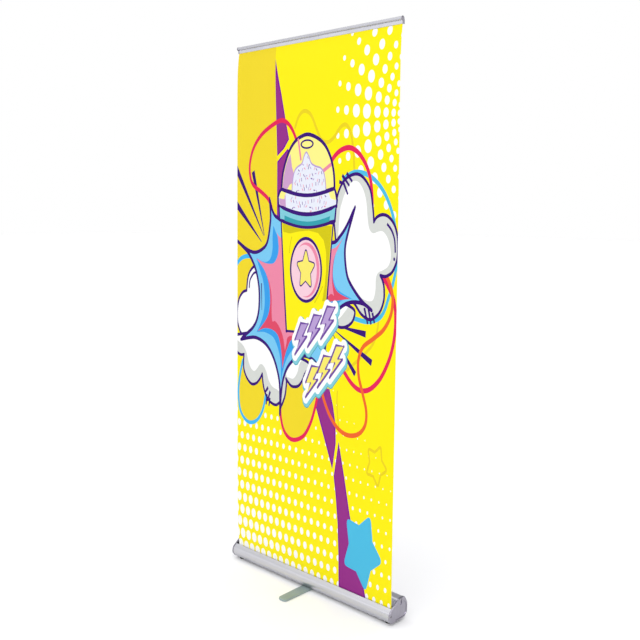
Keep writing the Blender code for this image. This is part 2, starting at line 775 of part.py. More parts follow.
def rail_cap(label, side):
    """A keyhole-shaped end cap, whose peg the jaw turns on."""
    rim = 0.0007
    neck_front, neck_rear = -0.0002, 0.0094
    bottom = LEAF_BOTTOM - 0.0004
    radius = HEAD_RADIUS + rim
    start = math.degrees(math.acos(neck_front / radius))
    points = arc(radius, -12, 360 - start)
    points += [(neck_front, bottom), (neck_rear, bottom), (neck_rear, -0.0040)]
    outer = FILM_X + side * (RAIL_HALF + 0.0030)
    low, high = sorted((FILM_X + side * (RAIL_HALF + GAP), outer))
    cap = plate(f"rail_cap_{label}", [about_hinge(points)], low, high, "chrome")
    round_rim(cap, 0.0008, 2, lambda v: abs(v.x - outer) < 1e-5)
    low, high = sorted((side * (RAIL_HALF - 0.0080), side * (RAIL_HALF + 0.0015)))
    centre = (FILM_X, HINGE_Y, HINGE_Z)
    peg = cutting_cylinder(f"peg_{label}", 0.0016, low, high, centre, ALONG_X, sides=16)
    boolean(cap, peg, "UNION")
    return cap


def graphic_panel():
    """The film from the roller up into the rail, as one thin sheet that bows forward a little."""
    low, high = ROLLER_Z, RAIL_BOTTOM_Z + 0.0080
    steps = 24
    shape = bmesh.new()
    rows = []
    for i in range(steps + 1):
        z = low + (high - low) * i / steps
        share = min(max((z - SLOT_Z) / (RAIL_BOTTOM_Z - SLOT_Z), 0), 1)
        y = FILM_Y - FILM_BOW * math.sin(math.pi * share) ** 0.5
        edges = (FILM_X - FILM_WIDTH / 2, FILM_X + FILM_WIDTH / 2)
        rows.append([shape.verts.new((x, y, z)) for x in edges])
    for below, above in zip(rows, rows[1:]):
        shape.faces.new((below[0], below[1], above[1], above[0]))
    mesh = bpy.data.meshes.new("graphic_panel")
    shape.to_mesh(mesh)
    shape.free()
    film = smooth(add("graphic_panel", mesh, "printed_film"))
    skin = film.modifiers.new("Thickness", "SOLIDIFY")
    skin.thickness = FILM_THICKNESS
    skin.offset = 0
    return film


def build():
    base_housing()
    for label, side, pin in (("left", -1, IDLER_PIN_RADIUS), ("right", 1, SPRING_AXLE_RADIUS)):
        end_cap(label, side)
        axle_bracket(label, side, pin)
        base_pad(label, side)
        rail_cap(label, side)
    mast_socket()
    roller()
    roller_supports()
    torsion_spring()
    foot()
    foot_pivot()
    mast()
    mast_head()
    top_rail()
    rail_jaw()
    graphic_panel()


build()
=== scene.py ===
"""Looks of the roll-up banner stand: printed film, metals and plastics, floor, light and camera.

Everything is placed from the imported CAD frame, in metres. The print's own layout is in
millimetres on the film: x from the film's middle, z above the floor.
"""

import json
import math

import bpy
import numpy as np
from mathutils import Matrix, Vector
from mathutils.geometry import delaunay_2d_cdt


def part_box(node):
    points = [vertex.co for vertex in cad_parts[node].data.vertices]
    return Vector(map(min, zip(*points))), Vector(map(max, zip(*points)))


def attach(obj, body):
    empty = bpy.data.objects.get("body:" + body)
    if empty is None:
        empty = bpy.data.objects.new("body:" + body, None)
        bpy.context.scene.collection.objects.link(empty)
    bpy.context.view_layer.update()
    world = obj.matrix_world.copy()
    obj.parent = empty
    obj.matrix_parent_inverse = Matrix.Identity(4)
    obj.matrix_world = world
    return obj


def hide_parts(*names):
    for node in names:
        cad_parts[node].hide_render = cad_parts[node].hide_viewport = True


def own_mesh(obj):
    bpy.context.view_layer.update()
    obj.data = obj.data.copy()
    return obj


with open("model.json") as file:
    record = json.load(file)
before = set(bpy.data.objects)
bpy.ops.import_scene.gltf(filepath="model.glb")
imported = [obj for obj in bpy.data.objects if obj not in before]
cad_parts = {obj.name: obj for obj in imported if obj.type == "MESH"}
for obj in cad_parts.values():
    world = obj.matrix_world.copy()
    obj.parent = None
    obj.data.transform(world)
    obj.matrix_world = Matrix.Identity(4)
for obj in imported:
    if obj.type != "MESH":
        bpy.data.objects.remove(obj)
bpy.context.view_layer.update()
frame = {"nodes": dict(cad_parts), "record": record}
NODES = frame["nodes"]


# Nodes for materials


def srgb(red, green, blue):
    """A colour from 0 to 255 as it is seen on a screen, in the linear values that a shader takes."""
    values = (c / 255 for c in (red, green, blue))
    return [c / 12.92 if c < 0.04045 else ((c + 0.055) / 1.055) ** 2.4 for c in values] + [1.0]


NOISE_RANGE = (0.3, 0.7)  # most of a noise texture's values lie in here


class Surface:
    """A Principled material whose roughness, bump and, if wanted, colour come from noise."""

    def __init__(self, name, colour, roughness=0.4, metallic=0.0, **sockets):
        self.material = bpy.data.materials.new(name)
        self.material.use_nodes = True
        self.tree = self.material.node_tree
        self.shader = self.tree.nodes["Principled BSDF"]
        self.set("Base Color", colour)
        self.set("Roughness", roughness)
        self.set("Metallic", metallic)
        for socket, value in sockets.items():
            self.set(socket.replace("_", " "), value)
        self.place = self.node("ShaderNodeTexCoord").outputs["Object"]

    def set(self, socket, value):
        self.shader.inputs[socket].default_value = value

    def node(self, kind, **settings):
        made = self.tree.nodes.new(kind)
        for name, value in settings.items():
            setattr(made, name, value)
        return made

    def link(self, output, target):
        self.tree.links.new(output, target)

    def noise(self, scale, stretch=(1, 1, 1), detail=3.0, roughness=0.5):
        """Noise of about scale features a metre, drawn out along the axes whose stretch is small."""
        mapping = self.node("ShaderNodeMapping")
        mapping.inputs["Scale"].default_value = stretch
        self.link(self.place, mapping.inputs["Vector"])
        texture = self.node("ShaderNodeTexNoise")
        texture.inputs["Scale"].default_value = scale
        texture.inputs["Detail"].default_value = detail
        texture.inputs["Roughness"].default_value = roughness
        self.link(mapping.outputs["Vector"], texture.inputs["Vector"])
        return texture.outputs["Fac"]

    def between(self, factor, low, high):
        """The factor, with the range that noise fills spread from low to high."""
        span = self.node("ShaderNodeMapRange")
        span.inputs["From Min"].default_value, span.inputs["From Max"].default_value = NOISE_RANGE
        span.inputs["To Min"].default_value = low
        span.inputs["To Max"].default_value = high
        self.link(factor, span.inputs["Value"])
        return span.outputs["Result"]

    def rough(self, factor, low, high):
        self.link(self.between(factor, low, high), self.shader.inputs["Roughness"])

    def bump(self, height, depth, strength=1.0):
        """Raises the surface by depth metres where the height is 1."""
        node = self.node("ShaderNodeBump")
        node.inputs["Strength"].default_value = strength
        node.inputs["Distance"].default_value = depth
        self.link(height, node.inputs["Height"])
        earlier = self.shader.inputs["Normal"].links
        if earlier:
            self.link(earlier[0].from_socket, node.inputs["Normal"])
        self.link(node.outputs["Normal"], self.shader.inputs["Normal"])

    def tint(self, factor, first, second):
        """Runs the colour from the first to the second with the factor."""
        mix = self.node("ShaderNodeMix", data_type="RGBA")
        self.link(self.between(factor, 0, 1), mix.inputs["Factor"])
        colours = [socket for socket in mix.inputs if socket.type == "RGBA"]
        colours[0].default_value = first
        colours[1].default_value = second
        result = next(socket for socket in mix.outputs if socket.type == "RGBA")
        self.link(result, self.shader.inputs["Base Color"])


def shade(colour, by):
    """The colour made darker or lighter by a factor."""
    return [min(1.0, c * by) for c in colour[:3]] + [1.0]


def drawn_metal(name, colour, along, low, high, depth=0.00001):
    """Extruded or drawn metal: fine die lines along its length, and slow changes in its sheen."""
    stretch = tuple(0.01 if axis == along else 1.0 for axis in "XYZ")
    made = Surface(name, colour, metallic=1.0)
    lines = made.noise(2600, stretch, detail=2)
    sheen = made.noise(14, detail=4)
    made.tint(lines, shade(colour, 0.94), shade(colour, 1.05))
    made.rough(sheen, low, high)
    made.bump(lines, depth, 0.35)
    return made


def moulded(name, colour, low, high, grain=1800, depth=0.00004):
    """Moulded plastic or rubber with a fine spark-eroded grain and a little handling shine."""
    made = Surface(name, colour)
    fine = made.noise(grain, detail=2)
    wear = made.noise(22, detail=5, roughness=0.6)
    made.tint(wear, shade(colour, 0.85), shade(colour, 1.2))
    made.rough(wear, low, high)
    made.bump(fine, depth, 0.5)
    return made


def plated(name, colour, low, high):
    """Bright plating over a moulding: nearly smooth, with faint waves and some haze."""
    made = Surface(name, colour, metallic=1.0)
    haze = made.noise(60, detail=5, roughness=0.6)
    waves = made.noise(90, detail=1)
    made.tint(haze, shade(colour, 0.93), shade(colour, 1.04))
    made.rough(haze, low, high)
    made.bump(waves, 0.00005, 0.4)
    return made


# The print


ART_STRETCH = 1.6  # how much taller than wide the print draws its circles
FILM_LOW, FILM_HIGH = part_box("graphic_panel")
FILM_MIDDLE = (FILM_LOW.x + FILM_HIGH.x) / 2
FILM_HALF = (FILM_HIGH.x - FILM_LOW.x) / 2 * 1000  # from here to RAIL_Z in millimetres
FILM_BOTTOM, FILM_TOP = FILM_LOW.z * 1000, FILM_HIGH.z * 1000
SLOT_Z, RAIL_Z = 60.0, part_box("top_rail")[0].z * 1000

INKS = {
    "yellow": srgb(255, 240, 0),
    "mustard": srgb(243, 218, 36),
    "ochre": srgb(236, 212, 26),
    "purple": srgb(150, 44, 138),
    "violet": srgb(128, 0, 158),
    "white": srgb(255, 255, 255),
    "mist": srgb(215, 218, 214),
    "sky": srgb(76, 190, 230),
    "azure": srgb(62, 185, 244),
    "crimson": srgb(230, 32, 88),
    "orange": srgb(240, 104, 42),
    "indigo": srgb(54, 0, 118),
    "pale_blue": srgb(122, 202, 243),
    "blue": srgb(54, 160, 236),
    "pink": srgb(238, 138, 168),
    "rose": srgb(224, 74, 104),
    "lemon": srgb(255, 245, 140),
    "orchid": srgb(206, 160, 205),
    "ice": srgb(234, 238, 250),
    "pale_teal": srgb(130, 205, 220),
    "teal": srgb(50, 160, 175),
    "olive": srgb(212, 200, 0),
    "blush": srgb(248, 208, 222),
    "lavender": srgb(186, 160, 214),
    "plum": srgb(112, 70, 160),
    "butter": srgb(250, 236, 110),
}


class Print:
    """The drawing as flat patches, the later ones over the earlier ones."""

    def __init__(self):
        self.patches = []

    def patch(self, ink, points):
        self.patches.append((ink, [tuple(point) for point in points]))

    def ellipse(self, ink, x, z, radius, tall=ART_STRETCH, sides=48):
        turns = (2 * math.pi * i / sides for i in range(sides))
        self.patch(ink, [(x + radius * math.cos(t), z + radius * tall * math.sin(t)) for t in turns])

    def stroke(self, ink, points, width, ends=None, closed=False, joints=False):
        """A brush line along the points. Its width may run to another one, given as ends."""
        ends = width if ends is None else ends
        line = [Vector((x, z / ART_STRETCH)) for x, z in points]
        count = len(line)
        sides = []
        for i, here in enumerate(line):
            before = line[i - 1] if i or closed else here
            after = line[(i + 1) % count] if i < count - 1 or closed else here
            run = (after - before).normalized()
            half = (width + (ends - width) * i / max(1, count - 1)) / 2
            across = Vector((-run.y, run.x)) * half
            sides.append((here + across, here - across))
        for i in range(count if closed else count - 1):
            (a, b), (c, d) = sides[i], sides[(i + 1) % count]
            self.patch(ink, [(p.x, p.y * ART_STRETCH) for p in (a, b, d, c)])
        if joints:
            for x, z in points:
                self.ellipse(ink, x, z, width / 2, sides=12)

    def outlined(self, ink, points, edge, width):
        """A patch with a line of another ink round it."""
        self.patch(ink, points)
        self.stroke(edge, points, width, closed=True, joints=True)


def through(points, closed=False, steps=8):
    """A smooth line through the points."""
    places = [Vector(point) for point in points]
    count = len(places)
    made = []
    for i in range(count if closed else count - 1):
        if closed:
            a, b, c, d = (places[(i + k) % count] for k in (-1, 0, 1, 2))
        else:
            a, b, c, d = (places[min(max(i + k, 0), count - 1)] for k in (-1, 0, 1, 2))
        slope = c - a
        bend = 2 * a - 5 * b + 4 * c - d
        twist = 3 * b - a - 3 * c + d
        for k in range(steps):
            t = k / steps
            made.append((2 * b + slope * t + bend * t**2 + twist * t**3) * 0.5)
    if not closed:
        made.append(places[-1])
    return [(p.x, p.y) for p in made]


def walk(*sides):
    """A closed shape with smooth sides and a sharp corner wherever one side meets the next."""
    made = []
    for i, side in enumerate(sides):
        after = sides[(i + 1) % len(sides)][0]
        made += through([*side, after], steps=4)[:-1]
    return made


def soft_star(x, z, radius, inner, turn, rounding=0.16):
    """A five-pointed star with blunt tips, as the print's other round shapes are drawn."""
    made = []
    for k in range(5):
        angle = math.radians(turn + 72 * k)
        tip = Vector((math.cos(angle), math.sin(angle))) * radius
        hollows = []
        for side in (-36, 36):
            beside = angle + math.radians(side)
            hollows.append(Vector((math.cos(beside), math.sin(beside))) * radius * inner)
        made.append(hollows[0])
        come, go = tip.lerp(hollows[0], rounding * 2), tip.lerp(hollows[1], rounding * 2)
        for i in range(7):
            t = i / 6
            made.append(come * (1 - t) ** 2 + tip * 2 * t * (1 - t) + go * t**2)
    return [(x + p.x, z + p.y * ART_STRETCH) for p in made]


def halftone_below(art):
    """Dots in staggered rows that grow towards the lower left corner."""
    pitch, row_pitch, lowest = 33.8, 52.2, 14.0
    middle_width, growth, middle_sum = 16.2, 0.021, 275  # the width where x + z is the middle sum
    narrowest, widest = 2.5, 29
    burst_z = 660  # left of the middle, the field stops here, under the burst
    for row in range(16):
        z = lowest + row * row_pitch
        shift = pitch / 2 if row % 2 else 0.0
        for column in range(-12, 13):
            x = column * pitch + shift
            width = middle_width - growth * (x + z - middle_sum)
            if width > narrowest and not (x < 0 and z > burst_z):
                art.ellipse("white", x, z, min(width, widest) / 2, sides=16)


def halftone_above(art):
    """Dots on spokes from a point off the right edge; the outer spokes have the smaller dots."""
    centre_x, centre_z, spoke, stretch = 516.0, 1759.5, 9.0, 1.47
    rings = ((389, 15), (349, 22), (304, 31), (257, 34), (211, 27), (174, 22), (142, 18), (118, 14))
    for k in range(-7, 7):
        spokes_off = k + 0.5
        angle = math.radians(spokes_off * spoke)
        share = 1.03 - 0.072 * abs(spokes_off)
        for radius, width in rings:
            x = centre_x - radius * math.cos(angle)
            z = centre_z + radius * math.sin(angle) * stretch
            art.ellipse("white", x, z, width * share / 2, tall=stretch, sides=18)


def left_panel(art):
    """The mustard field down the upper left, and the purple bolts on its edge."""
    art.patch("mustard", [(-410, 2080), (-191, 2080), (-176, 1560), (-150, 1000), (-410, 1060)])
    spike = [(-188, 2016), (-152, 1880), (-131, 1787), (-113, 1714), (-140, 1680), (-176, 1654)]
    art.patch("violet", spike)
    inner = [(-184, 1960), (-157, 1880), (-136, 1787), (-118, 1716), (-142, 1688), (-172, 1664)]
    art.patch("purple", inner)
    art.patch("violet", [(-176, 1634), (-120, 1680), (-60, 1600), (-100, 1400), (-176, 1400)])
    art.patch("purple", [(-171, 1630), (-122, 1670), (-70, 1600), (-100, 1400), (-171, 1400)])


def lower_bolts(art):
    """The purple bolts that go on to the bottom edge."""
    first = [(22, 748), (60, 800), (100, 800), (118, 740), (131, 672), (133, 600), (118, 502)]
    art.patch("violet", first)
    inner = [(28, 745), (64, 800), (96, 800), (113, 738), (126, 672), (128, 600), (118, 522)]
    art.patch("purple", inner)
    second = [(147, 612), (178, 480), (206, 350), (262, 150), (300, -20), (152, -20), (154, 180)]
    second += [(149, 300), (138, 400), (126, 476)]
    art.patch("violet", second)
    inner = [(147, 585), (173, 480), (201, 350), (256, 150), (294, -20), (157, -20), (159, 180)]
    inner += [(154, 300), (143, 400), (131, 478)]
    art.patch("purple", inner)


def pale_lines(art):
    """The squiggles and the star outline in ochre, hardly darker than the yellow."""
    hills = [(-84, 1750), (-62, 1795), (-32, 1812), (0, 1794), (26, 1745), (48, 1708), (78, 1694)]
    hills += [(108, 1708), (140, 1742), (166, 1750), (188, 1722), (200, 1660), (206, 1590)]
    art.stroke("ochre", through(hills), 9)
    art.stroke("ochre", through([(139, 800), (137, 760), (141, 700), (148, 660)]), 6)
    art.stroke("ochre", through([(180, 880), (240, 930), (300, 990), (322, 1060), (318, 1120)]), 8)
    art.stroke("ochre", soft_star(322, 562, 50, 0.58, 66), 7, closed=True)


def loops(art):
    """The brush loops behind the burst."""
    crimson_left = [(-66, 1690), (-92, 1742), (-118, 1772), (-152, 1786), (-200, 1772), (-262, 1738)]
    crimson_left += [(-306, 1690), (-327, 1632), (-325, 1580), (-306, 1546), (-262, 1520), (-222, 1490)]
    crimson_left += [(-204, 1452), (-206, 1400), (-224, 1330)]
    crimson_right = [(86, 1608), (112, 1642), (146, 1664), (184, 1670), (222, 1652), (256, 1612)]
    crimson_right += [(278, 1560), (287, 1500), (288, 1440)]
    crimson_far = [(330, 1240), (362, 1196), (388, 1150), (396, 1080), (390, 1010), (370, 940)]
    crimson_far += [(334, 872), (288, 828), (244, 818), (204, 838), (164, 880), (120, 930)]
    sky_right = [(150, 1560), (205, 1584), (262, 1576), (310, 1546), (348, 1500), (376, 1440), (392, 1370)]
    sky_right += [(398, 1290), (386, 1220), (366, 1160), (346, 1108), (320, 1080), (270, 1066), (205, 1074)]
    orange = [(340, 1250), (368, 1208), (382, 1160), (376, 1100), (346, 1046), (300, 1008), (256, 974)]
    orange += [(236, 926), (238, 868), (256, 810), (274, 748), (270, 696), (240, 658), (192, 644)]
    orange += [(146, 658), (106, 696), (78, 744), (60, 790)]
    crimson_low = [(46, 790), (28, 716), (4, 650), (-32, 596), (-86, 572), (-128, 592), (-150, 644)]
    crimson_low += [(-156, 720)]
    sky_low = [(-366, 850), (-384, 786), (-394, 712), (-382, 636), (-340, 598), (-292, 608), (-256, 652)]
    sky_low += [(-238, 712), (-232, 780)]
    sky_left = [(-410, 1226), (-380, 1256), (-344, 1268), (-300, 1268)]
    art.patch("mustard", through(sky_low, closed=True))
    art.patch("mustard", through(crimson_low + [(-120, 830), (0, 850)], closed=True))
    for ink, line, width in (
        ("crimson", crimson_left, 11),
        ("sky", sky_right, 11),
        ("crimson", crimson_right, 12),
        ("crimson", crimson_far, 12),
        ("orange", orange, 11),
        ("crimson", crimson_low, 11),
        ("azure", sky_low, 10),
        ("azure", sky_left, 11),
    ):
        art.stroke(ink, through(line), width)


def speed_lines(art):
    """Indigo strokes that narrow towards the burst."""
    for outer, inner, width in (
        ((-416, 1632), (-248, 1352), 19),
        ((-309, 1600), (-244, 1352), 17),
        ((-416, 1484), (-260, 1328), 19),
        ((268, 1021), (140, 1038), 15),
        ((296, 923), (124, 1020), 15),
        ((222, 872), (116, 1004), 14),
    ):
        art.stroke("indigo", [outer, inner], width, ends=2)


CLOUD_LINE = 7.5


def cloud(art, outline, lit):
    """A cloud whose shaded rim shows round its lit part."""
    art.outlined("mist", outline, "indigo", CLOUD_LINE)
    art.patch("white", lit)
    art.stroke("indigo", outline, CLOUD_LINE, closed=True)


def ticks(art, marks):
    """Short hatch marks across a cloud's line."""
    for start, end in marks:
        art.stroke("indigo", [start, end], 8.5, ends=6)


def right_cloud(art):
    """The tall cloud with its three bulges, and the lobe that shows under it."""
    crown = [(110, 1440), (126, 1495), (137, 1525), (158, 1556), (192, 1575), (226, 1577), (256, 1557)]
    crown += [(279, 1522), (289, 1475), (294, 1440)]
    cheek = [(296, 1414), (308, 1430), (332, 1439), (358, 1433), (383, 1408), (397, 1372), (401, 1330)]
    cheek += [(397, 1285), (380, 1248), (362, 1234), (347, 1229)]
    chin = [(328, 1232), (338, 1215), (345, 1190), (345, 1148), (329, 1106), (302, 1081), (279, 1075)]
    chin += [(247, 1090), (218, 1122), (150, 1200)]
    lit = [(140, 1436), (152, 1485), (168, 1520), (190, 1548), (212, 1555), (232, 1545), (250, 1518)]
    lit += [(262, 1480), (268, 1430), (276, 1392), (292, 1375), (315, 1381), (336, 1382), (357, 1360)]
    lit += [(370, 1322), (370, 1285), (358, 1262), (338, 1250), (318, 1240), (309, 1220), (308, 1180)]
    lit += [(300, 1148), (285, 1139), (262, 1142), (240, 1152), (200, 1190), (140, 1300)]
    lobe = [(213, 1104), (211, 1068), (190, 1045), (160, 1034), (134, 1040), (110, 1080), (150, 1120)]
    lobe_lit = [(196, 1130), (150, 1070), (120, 1060), (110, 1100), (140, 1130)]
    cloud(art, through(lobe, closed=True), through(lobe_lit, closed=True))
    cloud(art, walk(crown, cheek, chin), through(lit, closed=True, steps=4))
    ticks(art, [((150, 1576), (184, 1538)), ((170, 1583), (197, 1552)), ((136, 1553), (160, 1546))])
    ticks(art, [((157, 1548), (177, 1508)), ((260, 1114), (276, 1058)), ((278, 1114), (291, 1058))])
    ticks(art, [((296, 1100), (306, 1064))])
    art.stroke("indigo", through([(353, 1408), (372, 1388), (386, 1356), (390, 1312)]), 6)
    art.ellipse("indigo", 386, 1290, 4, sides=12)


def left_clouds(art):
    """The small clouds at the left edge and below the burst."""
    brow = [(-250, 1200), (-292, 1229), (-318, 1217), (-337, 1185)]
    temple = [(-345, 1131), (-368, 1122), (-391, 1092), (-401, 1045), (-399, 1000), (-386, 966)]
    under = [(-370, 948), (-300, 900), (-200, 1000)]
    shape = walk(brow, temple, under)
    art.outlined("white", shape, "indigo", CLOUD_LINE)
    art.stroke("indigo", through([(-330, 1142), (-325, 1174), (-306, 1200), (-291, 1207)]), 6)
    edge = [(-410, 946), (-414, 900), (-402, 876), (-380, 867)]
    jaw = [(-361, 871), (-364, 838), (-360, 805), (-342, 774), (-316, 756), (-289, 763), (-268, 784)]
    fist = [(-255, 806), (-250, 765), (-238, 731), (-216, 704), (-189, 693), (-168, 698), (-150, 730)]
    fist += [(-150, 850), (-260, 960)]
    lit = [(-420, 934), (-400, 924), (-370, 909), (-348, 884), (-340, 862), (-332, 840), (-318, 818)]
    lit += [(-300, 811), (-284, 824), (-268, 842), (-250, 841), (-232, 818), (-219, 786), (-200, 764)]
    lit += [(-174, 756), (-155, 760), (-160, 880), (-260, 955), (-390, 942)]
    cloud(art, walk(edge, jaw, fist), through(lit, closed=True, steps=4))
    ticks(art, [((-222, 756), (-242, 730)), ((-210, 742), (-226, 700)), ((-228, 728), (-233, 686))])
    ticks(art, [((-212, 716), (-217, 682))])
    small = [(-150, 690), (-131, 731), (-124, 763), (-121, 795)]
    paw = [(-124, 806), (-102, 785), (-84, 780), (-58, 787), (-38, 810), (-24, 838), (0, 880), (-80, 900)]
    paw += [(-150, 890), (-160, 800)]
    lit = [(-122, 822), (-104, 812), (-84, 812), (-64, 836), (-54, 868), (-40, 900), (-110, 900)]
    cloud(art, walk(small, paw), through(lit, closed=True, steps=4))


BURST = (  # each layer's ink and its sides, from tip to tip
    (
        "pale_blue",
        [(-217, 1496), (-211, 1440), (-213, 1396), (-228, 1327), (-258, 1298), (-300, 1285), (-347, 1297)],
        [(-408, 1331), (-347, 1291), (-321, 1264), (-292, 1217), (-276, 1164), (-271, 1117), (-274, 1060)]
        + [(-287, 1016), (-310, 984), (-350, 953)],
        [(-380, 930), (-331, 942), (-295, 947), (-258, 939), (-226, 921), (-200, 892), (-179, 853)]
        + [(-163, 805), (-157, 763), (-156, 700)],
        [(-157, 656), (-152, 721), (-147, 763), (-139, 800), (-121, 842), (-95, 874), (-63, 897)]
        + [(-31, 906), (0, 904), (30, 890)],
        [(62, 850), (80, 960), (100, 1040), (131, 1088), (168, 1117), (210, 1130), (258, 1127)],
        [(294, 1107), (253, 1133), (216, 1169), (184, 1212), (171, 1264), (168, 1317), (179, 1369)],
        [(211, 1465), (179, 1406), (147, 1364), (105, 1336), (0, 1360), (-163, 1417), (-200, 1448)],
    ),
    (
        "blue",
        [(-195, 1392), (-199, 1350), (-199, 1300), (-212, 1262), (-242, 1250)],
        [(-290, 1264), (-266, 1212), (-250, 1175), (-242, 1130), (-241, 1085), (-248, 1045), (-265, 1005)],
        [(-287, 970), (-242, 974), (-200, 963), (-179, 942), (-160, 900), (-152, 858)],
        [(-150, 788), (-140, 835), (-121, 880), (-95, 915), (-60, 935), (10, 950), (90, 1060)]
        + [(150, 1128)],
        [(204, 1141), (137, 1168), (116, 1205), (113, 1243), (126, 1298)],
        [(162, 1360), (105, 1310), (0, 1330), (-150, 1340)],
    ),
    (
        "rose",
        [(-182, 1386), (-169, 1343), (-165, 1300), (-176, 1265), (-197, 1246), (-240, 1246)],
        [(-289, 1262), (-247, 1226), (-219, 1172), (-210, 1117), (-213, 1070), (-226, 1035), (-250, 1005)],
        [(-281, 973), (-242, 990), (-200, 989), (-172, 975), (-157, 947), (-147, 900)],
        [(-143, 843), (-131, 889), (-116, 926), (-90, 963), (-20, 975), (60, 1040), (92, 1114)]
        + [(130, 1128)],
        [(194, 1140), (137, 1160), (115, 1195), (112, 1240), (123, 1295)],
        [(158, 1355), (105, 1312), (0, 1330), (-150, 1345)],
    ),
    (
        "pink",
        [(-182, 1386), (-169, 1343), (-165, 1300), (-176, 1265), (-197, 1246), (-240, 1246)],
        [(-289, 1262), (-244, 1220), (-214, 1169), (-202, 1117), (-202, 1060), (-198, 1022), (-184, 1024)]
        + [(-168, 1013), (-150, 989), (-137, 958)],
        [(-129, 914), (-121, 942), (-105, 974), (0, 1000), (90, 1140)],
        [(119, 1145), (110, 1190), (109, 1238), (119, 1285)],
        [(154, 1350), (105, 1313), (0, 1330), (-150, 1345)],
    ),
)


def burst(art):
    """The comic burst: blue, rose and pink inside an indigo line."""
    for ink, *sides in BURST:
        shape = walk(*sides)
        art.patch(ink, shape)
        if ink == "pale_blue":
            art.stroke("indigo", shape, 9, closed=True)
            for side in sides:
                art.ellipse("indigo", *side[0], 3.5, sides=12)
    art.stroke("indigo", [(-259, 1166), (-257, 1060)], 5, ends=2)


def inside(point, shape):
    """Whether the point is within the shape."""
    x, z = point
    crossings = 0
    for (a, b), (c, d) in zip(shape, shape[1:] + shape[:1]):
        if (b > z) != (d > z) and x < a + (c - a) * (z - b) / (d - b):
            crossings += 1
    return crossings % 2 == 1


def sprinkle(art, shape):
    """Short dashes strewn over the shape, turned this way and that."""
    pitch, row_pitch, half_dash, width, margin = 15, 19, 4, 2.6, 4
    low_x, high_x = min(p[0] for p in shape), max(p[0] for p in shape)
    low_z, high_z = min(p[1] for p in shape), max(p[1] for p in shape)
    across, up = int((high_x - low_x) / pitch), int((high_z - low_z) / row_pitch)
    for row in range(up + 1):
        for column in range(across + 1):
            turn = math.radians((row * 67 + column * 113 + row * column * 31) % 180)
            x = low_x + column * pitch + (row % 2) * 7 + 3 * math.sin(row * 5 + column * 3)
            z = low_z + row * row_pitch + 5 * math.cos(row * 3 + column * 7)
            run, rise = half_dash * math.cos(turn), half_dash * math.sin(turn) * ART_STRETCH
            ends = [(x - run, z - rise), (x + run, z + rise)]
            if all(inside((a * 1.04 + b, c), shape) for b in (-margin, margin) for a, c in ends):
                ink = ("plum", "pink", "lavender")[(row + column * 2) % 3]
                art.stroke(ink, ends, width)


def bow(start, end, z, sag, steps=12):
    """A line across the can that sags in the middle, as its round rims do."""
    shares = (i / steps for i in range(steps + 1))
    return [(start + (end - start) * t, z - sag * math.sin(math.pi * t)) for t in shares]


CAN_LINE = 9.0
CAN_MIDDLE = -21.0


def can_dome(art):
    """The see-through cap, with what is inside it."""
    dome = [(-153, 1530), (-148, 1575), (-142, 1602), (-126, 1644), (-105, 1681), (-79, 1707)]
    dome += [(-53, 1720), (-21, 1727), (11, 1720), (47, 1702), (74, 1676), (95, 1639), (108, 1597)]
    dome = through([*dome, (113, 1560), (114, 1530)], steps=4) + bow(114, -153, 1530, 20)[1:-1]
    art.outlined("lemon", dome, "indigo", CAN_LINE)
    shadow = [(-147, 1530), (-142, 1575), (-134, 1606), (-120, 1640), (-106, 1660), (-98, 1612)]
    art.patch("orchid", [*shadow, (-88, 1586), (-94, 1552), (-110, 1546), (-126, 1524)])
    art.stroke("pink", [(-66, 1714), (-52, 1634)], 8)
    art.stroke("pink", [(58, 1592), (98, 1616)], 9)
    cream = [(-98, 1518), (-94, 1562), (-86, 1592), (-72, 1609), (-47, 1623), (-37, 1647)]
    cream += [(-25, 1663), (-12, 1647), (0, 1623), (22, 1611), (47, 1604), (62, 1586), (69, 1560)]
    cream = through([*cream, (74, 1518)], steps=4) + [(-20, 1506)]
    art.outlined("ice", cream, "lavender", 4)
    sprinkle(art, cream)


def can_collar(art):
    """The cap's see-through collar and the teal ring under it."""
    collar = bow(-153, 114, 1530, 24) + [(122, 1510), (127, 1488)]
    collar += bow(125, -167, 1467, 30) + [(-171, 1500), (-163, 1520)]
    art.outlined("ice", collar, "indigo", CAN_LINE)
    art.patch("lemon", [(-160, 1514), (-152, 1524), (-128, 1519), (-140, 1490), (-165, 1498)])
    art.patch("orchid", [(-165, 1496), (-138, 1492), (-132, 1515), (-128, 1452), (-160, 1464)])
    art.patch("lemon", [(86, 1516), (110, 1524), (118, 1506), (122, 1488), (96, 1494)])
    sprinkle(art, bow(-118, 88, 1514, 16) + bow(88, -118, 1456, 12))
    ring = bow(-165, 123, 1467, 31) + bow(118, -162, 1415, 25)
    art.outlined("pale_teal", ring, "indigo", CAN_LINE)
    art.patch("teal", bow(-159, 118, 1439, 29)[1:-1] + bow(114, -158, 1419, 25)[1:-1])
    art.stroke("indigo", bow(-153, 114, 1530, 24), CAN_LINE)


def can_label(art):
    """A round label with a star and no words."""
    x, z = CAN_MIDDLE - 1, 1231
    art.ellipse("indigo", x, z, 82, tall=1.5)
    art.ellipse("blush", x, z, 74, tall=1.5)
    art.ellipse("pink", x + 3, z, 66, tall=1.55)
    art.ellipse("blush", x - 6, z - 3, 62, tall=1.55)
    art.stroke("indigo", soft_star(x, z, 50, 0.5, 90), 6, closed=True, joints=True)
    art.patch("butter", soft_star(x, z, 49, 0.5, 90))


